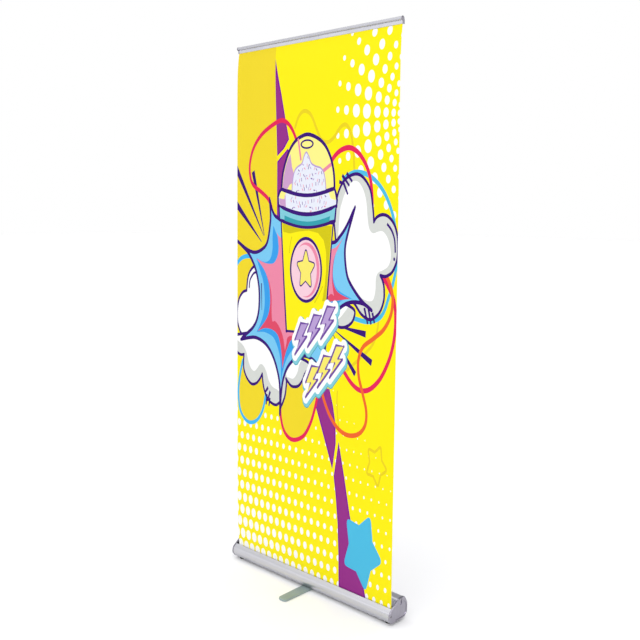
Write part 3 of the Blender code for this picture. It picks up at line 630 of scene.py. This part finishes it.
def spray_can(art):
    """A plain paint can."""
    body = [(-153, 1411), (-121, 992), (74, 1000), (110, 1406)]
    art.outlined("yellow", body, "indigo", CAN_LINE)
    shade_side = [(-148, 1404), (-141, 1369), (-105, 1364), (-63, 1372), (-10, 1377), (37, 1369)]
    shade_side += [(66, 1343), (78, 1301), (80, 1243), (74, 1180), (62, 1120), (80, 1124), (104, 1396)]
    art.patch("olive", shade_side)
    can_dome(art)
    can_collar(art)
    art.ellipse("indigo", CAN_MIDDLE, 1692, 33, tall=0.53)
    art.ellipse("lemon", CAN_MIDDLE, 1692, 26, tall=0.42)
    can_label(art)
    art.stroke("olive", through([(-96, 1352), (-104, 1322), (-108, 1290)]), 3)
    art.stroke("olive", through([(24, 1112), (44, 1140), (64, 1176)]), 3)


BOLT = (
    (-0.10, 1.0),
    (0.62, 1.0),
    (0.18, 0.22),
    (0.58, 0.22),
    (-0.46, -1.0),
    (-0.10, -0.08),
    (-0.56, -0.08),
)


def stickers(art):
    """Two rising rows of blank lightning bolts on a white sticker edge."""
    rows = (("lavender", (-46, 968), (66, 37)), ("butter", (10, 812), (60, 46)))
    wide, tall, lean = 52, 62, 6
    bolts = []
    for ink, start, step in rows:
        for k in range(3):
            x, z = start[0] + step[0] * k, start[1] + step[1] * k
            bolts.append((ink, [(x + a * wide + b * lean, z + b * tall) for a, b in BOLT]))
    for grown, ink, drop in ((42, "teal", 4), (38, "pale_teal", 4), (32, "white", 0)):
        for _, bolt in bolts:
            lower = [(a + drop, b - drop * 2) for a, b in bolt]
            art.stroke(ink, lower, grown, closed=True, joints=True)
    for ink, bolt in bolts:
        art.patch("white", bolt)
    for ink, bolt in bolts:
        art.outlined(ink, bolt, "plum", 6.5)


def drawing():
    """The whole print, from its back to its front."""
    art = Print()
    left, right = -FILM_HALF, FILM_HALF
    ground = [(left, FILM_BOTTOM), (right, FILM_BOTTOM), (right, FILM_TOP), (left, FILM_TOP)]
    art.patch("yellow", ground)
    halftone_below(art)
    halftone_above(art)
    left_panel(art)
    lower_bolts(art)
    pale_lines(art)
    art.patch("azure", soft_star(262, 232, 98, 0.6, -6))
    art.patch("sky", soft_star(262, 232, 94, 0.6, -6))
    speed_lines(art)
    loops(art)
    right_cloud(art)
    left_clouds(art)
    burst(art)
    spray_can(art)
    stickers(art)
    return art.patches


# The film


SHARP_TURN = 32  # degrees between two faces, above which the edge between them is seen


def edge_finish():
    """Node group that shades smooth, and keeps an edge only where the surface turns sharply."""
    group = bpy.data.node_groups.new("edge_finish", "GeometryNodeTree")
    group.interface.new_socket("Geometry", in_out="INPUT", socket_type="NodeSocketGeometry")
    group.interface.new_socket("Geometry", in_out="OUTPUT", socket_type="NodeSocketGeometry")
    start = group.nodes.new("NodeGroupInput")
    end = group.nodes.new("NodeGroupOutput")
    angle = group.nodes.new("GeometryNodeInputMeshEdgeAngle")
    sharp = group.nodes.new("FunctionNodeCompare")
    sharp.data_type = "FLOAT"
    sharp.operation = "GREATER_THAN"
    sharp.inputs[1].default_value = math.radians(SHARP_TURN)
    normals = group.nodes.new("GeometryNodeSetMeshNormal")
    normals.mode = "SHARPNESS"
    normals.inputs["Remove Custom"].default_value = True
    normals.inputs["Face Sharpness"].default_value = False
    group.links.new(start.outputs[0], normals.inputs[0])
    group.links.new(angle.outputs["Unsigned Angle"], sharp.inputs[0])
    group.links.new(sharp.outputs["Result"], normals.inputs["Edge Sharpness"])
    group.links.new(normals.outputs[0], end.inputs[0])
    return group


EDGES = edge_finish()


FILM_THICKNESS = 0.0004
FILM_PLANE = -0.032  # where the rail and the slot hold the film
# How far forward of that plane the film hangs, in millimetres
CURL_LEFT = 11.0  # all down the left edge
CURL_RIGHT, CURL_RIGHT_TOP = 2.0, 9.5  # all down the right edge, and what comes on top by the rail
CURL_RIGHT_REACH = 450.0
WAVE, WAVE_LENGTH = 1.6, 900.0  # slow waves down the middle


def freed(distance, reach):
    """How free the film is of what holds it: 0 there, and nearly 1 beyond the reach."""
    return 1 - math.exp(-distance / reach)


def film_place(x, z):
    """Where a point of the flat film hangs: flat in the rail and the slot, curled in between."""
    side = min(max((x + FILM_HALF) / (2 * FILM_HALF), 0), 1)
    below_rail = max(RAIL_Z - z, 0)
    above_slot = max(z - SLOT_Z, 0)
    left = CURL_LEFT * freed(below_rail, 45)
    right = CURL_RIGHT + CURL_RIGHT_TOP * math.exp(-below_rail / CURL_RIGHT_REACH)
    wave = WAVE * math.sin(math.pi * side) * math.sin(2 * math.pi * z / WAVE_LENGTH)
    forward = left * (1 - side) + (right * side + wave) * freed(below_rail, 60)
    forward *= freed(above_slot, 90)
    return Vector((FILM_MIDDLE + x / 1000, FILM_PLANE - forward / 1000, z / 1000))


INK_SHARE = 0.79  # how much of its seen colour an ink has by itself, as the light is strong


def film_inks():
    """A satin material for each ink, on the same faintly rolled film, and one for the back."""
    made = []
    for name, colour in INKS.items():
        ink = Surface("print_" + name, shade(colour, INK_SHARE), Specular_IOR_Level=0.12)
        ink.rough(ink.noise(9, (1, 1, 0.35), detail=3), 0.42, 0.52)
        ink.bump(ink.noise(7, (1, 1, 0.25), detail=1), 0.0012, 0.25)
        ink.bump(ink.noise(2400, detail=1), 0.00001, 0.3)
        made.append(ink.material)
    back = Surface("film_back", srgb(214, 214, 217))
    weave = back.noise(1500, detail=2)
    back.tint(weave, srgb(206, 206, 210), srgb(220, 220, 223))
    back.rough(back.noise(12, detail=3), 0.5, 0.62)
    back.bump(weave, 0.00002, 0.4)
    made.append(back.material)
    return made


def ink_at(places, patches):
    """The number of the ink on top at each place: the last patch whose outline winds round it."""
    inks = list(INKS)
    order = np.argsort(places[:, 1])
    across, up = places[order].T
    found = np.zeros(len(places), dtype=int)
    for ink, points in patches:
        outline = np.array(points)
        (left, low), (right, high) = outline.min(axis=0), outline.max(axis=0)
        first, last = np.searchsorted(up, (low, high))
        near = first + np.flatnonzero((across[first:last] > left) & (across[first:last] < right))
        x, z = across[near, None], up[near, None]
        a, b = outline.T
        c, d = np.roll(outline, -1, axis=0).T
        slope = (c - a) / np.where(d == b, 1, d - b)
        crossed = (z >= np.minimum(b, d)) & (z < np.maximum(b, d)) & (x < a + slope * (z - b))
        turns = (crossed * np.sign(d - b)).sum(axis=1)
        found[order[near[turns != 0]]] = inks.index(ink)
    return found


GRID_ROWS, GRID_COLUMNS = 52, 12
CUT_TOLERANCE = 0.001  # corners nearer than this become one


def grid():
    """Lines across and along the film, so that its mesh can bend inside the larger patches."""
    lines = []
    for i in range(1, GRID_ROWS):
        z = FILM_BOTTOM + (FILM_TOP - FILM_BOTTOM) * i / GRID_ROWS
        lines.append([(-FILM_HALF, z), (FILM_HALF, z)])
    for i in range(1, GRID_COLUMNS):
        x = -FILM_HALF + 2 * FILM_HALF * i / GRID_COLUMNS
        lines.append([(x, FILM_BOTTOM), (x, FILM_TOP)])
    return lines


def cut_film(patches):
    """The flat film in triangles that end at the patches' outlines: corners, triangles, inks."""
    corners, edges = [], []
    for points in [outline for _, outline in patches] + grid():
        first = len(corners)
        corners += [Vector(point) for point in points]
        edges += [(first + i, first + (i + 1) % len(points)) for i in range(len(points))]
    cut = delaunay_2d_cdt(corners, edges, [], 0, CUT_TOLERANCE, False)
    places = np.array([place[:] for place in cut[0]])
    faces = np.array(cut[2])
    middles = places[faces].mean(axis=1)
    on_film = np.abs(middles[:, 0]) < FILM_HALF
    on_film &= (middles[:, 1] > FILM_BOTTOM) & (middles[:, 1] < FILM_TOP)
    faces, middles = faces[on_film], middles[on_film]
    used, faces = np.unique(faces, return_inverse=True)
    return places[used].tolist(), faces.reshape(-1, 3).tolist(), ink_at(middles, patches)


def make_film():
    """The print cut into its patches, laid on the hanging film and given its thickness."""
    places, faces, inks = cut_film(drawing())
    mesh = bpy.data.meshes.new("banner_film")
    mesh.from_pydata([film_place(x, z) for x, z in places], [], faces)
    for material in film_inks():
        mesh.materials.append(material)
    mesh.polygons.foreach_set("material_index", inks)
    mesh.shade_smooth()
    film = bpy.data.objects.new("banner_film", mesh)
    bpy.context.scene.collection.objects.link(film)
    skin = film.modifiers.new("Thickness", "SOLIDIFY")
    skin.thickness = FILM_THICKNESS
    skin.offset = 0
    skin.material_offset = len(INKS)
    skin.material_offset_rim = len(INKS)
    film.modifiers.new("Edges", "NODES").node_group = EDGES
    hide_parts("graphic_panel")
    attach(film, "base")
    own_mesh(film)


# Metals, plastics and rubber on the CAD pieces


def dress(node, surface, edge=0.0):
    """Gives a CAD piece its material, shades its facets as one and rounds its edges by a hair."""
    obj = NODES[node]
    for slot in obj.material_slots:
        slot.material = surface.material
    weld = obj.modifiers.new("Weld", "WELD")
    weld.merge_threshold = 1e-6
    obj.modifiers.new("Edges", "NODES").node_group = EDGES
    if edge:
        bevel = obj.modifiers.new("Bevel", "BEVEL")
        bevel.width = edge
        bevel.segments = 2
        bevel.limit_method = "ANGLE"
        bevel.angle_limit = math.radians(40)
        bevel.harden_normals = True
        bevel.use_clamp_overlap = True


def painted_steel():
    """The foot's grey-green satin coat."""
    made = Surface("foot_steel", srgb(140, 156, 154), metallic=0.1, Specular_IOR_Level=0.35)
    peel = made.noise(420, detail=2)
    wear = made.noise(18, detail=5)
    made.tint(wear, srgb(134, 150, 149), srgb(148, 163, 162))
    made.rough(wear, 0.30, 0.42)
    made.bump(peel, 0.00003, 0.5)
    return made


def dress_all():
    """Each piece's finish and edge radius by its name, or else the finish of its CAD material."""
    aluminium_x = drawn_metal("satin_aluminium_x", srgb(194, 194, 200), "X", 0.26, 0.36)
    rail = drawn_metal("rail_aluminium", srgb(190, 190, 197), "X", 0.22, 0.32)
    aluminium_z = drawn_metal("satin_aluminium_z", srgb(206, 206, 212), "Z", 0.24, 0.34)
    zinc = plated("zinc_plate", srgb(188, 188, 182), 0.25, 0.42)
    wire = drawn_metal("spring_wire", srgb(120, 120, 126), "X", 0.25, 0.38)
    black = moulded("black_plastic", srgb(34, 34, 36), 0.42, 0.6)
    grey = moulded("grey_plastic", srgb(118, 118, 121), 0.4, 0.55)
    rubber = moulded("rubber", srgb(30, 30, 30), 0.75, 0.9, grain=900, depth=0.00008)
    film = moulded("film_roll", srgb(208, 208, 212), 0.5, 0.6, grain=1500, depth=0.00002)
    cap = plated("cap_chrome", srgb(158, 155, 165), 0.10, 0.20)
    steel = painted_steel()
    finishes = {
        "base_housing": (aluminium_x, 0.00025),
        "end_cap_left": (cap, 0.0007),
        "end_cap_right": (cap, 0.0007),
        "top_rail": (rail, 0.00015),
        "rail_jaw": (rail, 0.00015),
        "rail_cap_left": (cap, 0.0),
        "rail_cap_right": (cap, 0.0),
        "swivel_foot": (steel, 0.0005),
        "mast_head": (black, 0.0003),
        "mast_socket": (black, 0.0003),
        "roller_tube": (aluminium_x, 0.0),
        "wound_film": (film, 0.0),
        "torsion_spring": (wire, 0.0),
        "spring_anchor": (black, 0.0002),
        "foot_washer": (grey, 0.0002),
    }
    by_slot = {
        "satin_aluminium": aluminium_z,
        "zinc_steel": zinc,
        "black_plastic": black,
        "grey_plastic": grey,
        "rubber": rubber,
    }
    for part in frame["record"]["subparts"]:
        node = part["node"]
        if node == "graphic_panel":
            continue
        surface, edge = finishes.get(node) or (by_slot[part["material_slot"]], 0.0)
        dress(node, surface, edge)


# Floor, light and camera


FLOOR_REACH = 40.0


def make_floor():
    """A matt white studio floor that runs on out of sight."""
    mesh = bpy.data.meshes.new("floor")
    turns = ((-1, -1), (1, -1), (1, 1), (-1, 1))
    mesh.from_pydata([(x * FLOOR_REACH, y * FLOOR_REACH, 0) for x, y in turns], [], [(0, 1, 2, 3)])
    floor = bpy.data.objects.new("floor", mesh)
    bpy.context.scene.collection.objects.link(floor)
    surface = Surface("floor", srgb(246, 246, 247), Specular_IOR_Level=0.1)
    surface.rough(surface.noise(3, detail=3), 0.75, 0.85)
    mesh.materials.append(surface.material)


def add_light(light, location, aim):
    """Puts the light in the scene, turned from its location towards the aim."""
    obj = bpy.data.objects.new(light.name, light)
    obj.location = location
    obj.rotation_euler = (Vector(aim) - Vector(location)).to_track_quat("-Z", "Y").to_euler()
    bpy.context.scene.collection.objects.link(obj)


GREY_CARDS = (  # where the white studio is darker: towards, outer and inner angle, brightness left
    ((-0.88, -0.36, 0.50), 27, 10, 0.30),
    ((-0.45, 0.60, 0.66), 27, 18, 0.40),
    ((0.62, 0.45, 0.66), 28, 14, 0.40),
)


def make_world():
    """A white studio all round, which the metals reflect, with a few grey cards in it."""
    world = bpy.data.worlds.new("studio")
    world.use_nodes = True
    tree = world.node_tree
    background = tree.nodes["Background"]
    background.inputs["Strength"].default_value = 1.0
    direction = tree.nodes.new("ShaderNodeTexCoord").outputs["Generated"]
    level = None
    for towards, wide, narrow, left in GREY_CARDS:
        angle = tree.nodes.new("ShaderNodeVectorMath")
        angle.operation = "DOT_PRODUCT"
        tree.links.new(direction, angle.inputs[0])
        angle.inputs[1].default_value = Vector(towards).normalized()
        fade = tree.nodes.new("ShaderNodeMapRange")
        fade.interpolation_type = "SMOOTHSTEP"
        fade.inputs["From Min"].default_value = math.cos(math.radians(wide))
        fade.inputs["From Max"].default_value = math.cos(math.radians(narrow))
        fade.inputs["To Min"].default_value = 1.0
        fade.inputs["To Max"].default_value = left
        tree.links.new(angle.outputs["Value"], fade.inputs["Value"])
        if level:
            both = tree.nodes.new("ShaderNodeMath")
            both.operation = "MULTIPLY"
            tree.links.new(level, both.inputs[0])
            tree.links.new(fade.outputs["Result"], both.inputs[1])
            level = both.outputs["Value"]
        else:
            level = fade.outputs["Result"]
    tree.links.new(level, background.inputs["Color"])
    bpy.context.scene.world = world


def make_light():
    """One lamp from the front right, and a very soft light from above."""
    key = bpy.data.lights.new("key", "AREA")
    key.shape = "SQUARE"
    key.size = 1.2
    key.energy = 36
    add_light(key, (3.0, -2.6, 3.2), (0, 0, 0.9))
    window = bpy.data.lights.new("window", "SUN")
    window.energy = 1.1
    window.angle = math.radians(110)
    add_light(window, (0, 0, 0), (0.30, 0.40, -0.9))


def make_camera():
    """The view from the front right, at the height of a standing person's eyes or so."""
    place = Vector((2.0571 + FILM_MIDDLE, -2.2139, 1.4499))
    yaw, pitch, roll = (math.radians(angle) for angle in (-42.83, -5.88, 0.56))
    camera = bpy.data.cameras.new("camera")
    camera.lens = 45.66
    camera.sensor_width = 36.0
    camera.shift_x, camera.shift_y = 0.0028, -0.04
    camera.clip_end = 200.0
    ahead = Vector((math.sin(yaw), math.cos(yaw), 0))
    forward = ahead * math.cos(pitch) + Vector((0, 0, math.sin(pitch)))
    level = Vector((math.cos(yaw), -math.sin(yaw), 0))
    upright = level.cross(forward)
    right = level * math.cos(roll) + upright * math.sin(roll)
    up = upright * math.cos(roll) - level * math.sin(roll)
    obj = bpy.data.objects.new("camera", camera)
    turn = Matrix((right, up, -forward)).transposed()
    obj.matrix_world = Matrix.Translation(place) @ turn.to_4x4()
    bpy.context.scene.collection.objects.link(obj)
    bpy.context.scene.camera = obj


bpy.context.scene.view_settings.view_transform = "Standard"
make_camera()
make_floor()
make_world()
make_light()
make_film()
dress_all()

bpy.context.view_layer.update()
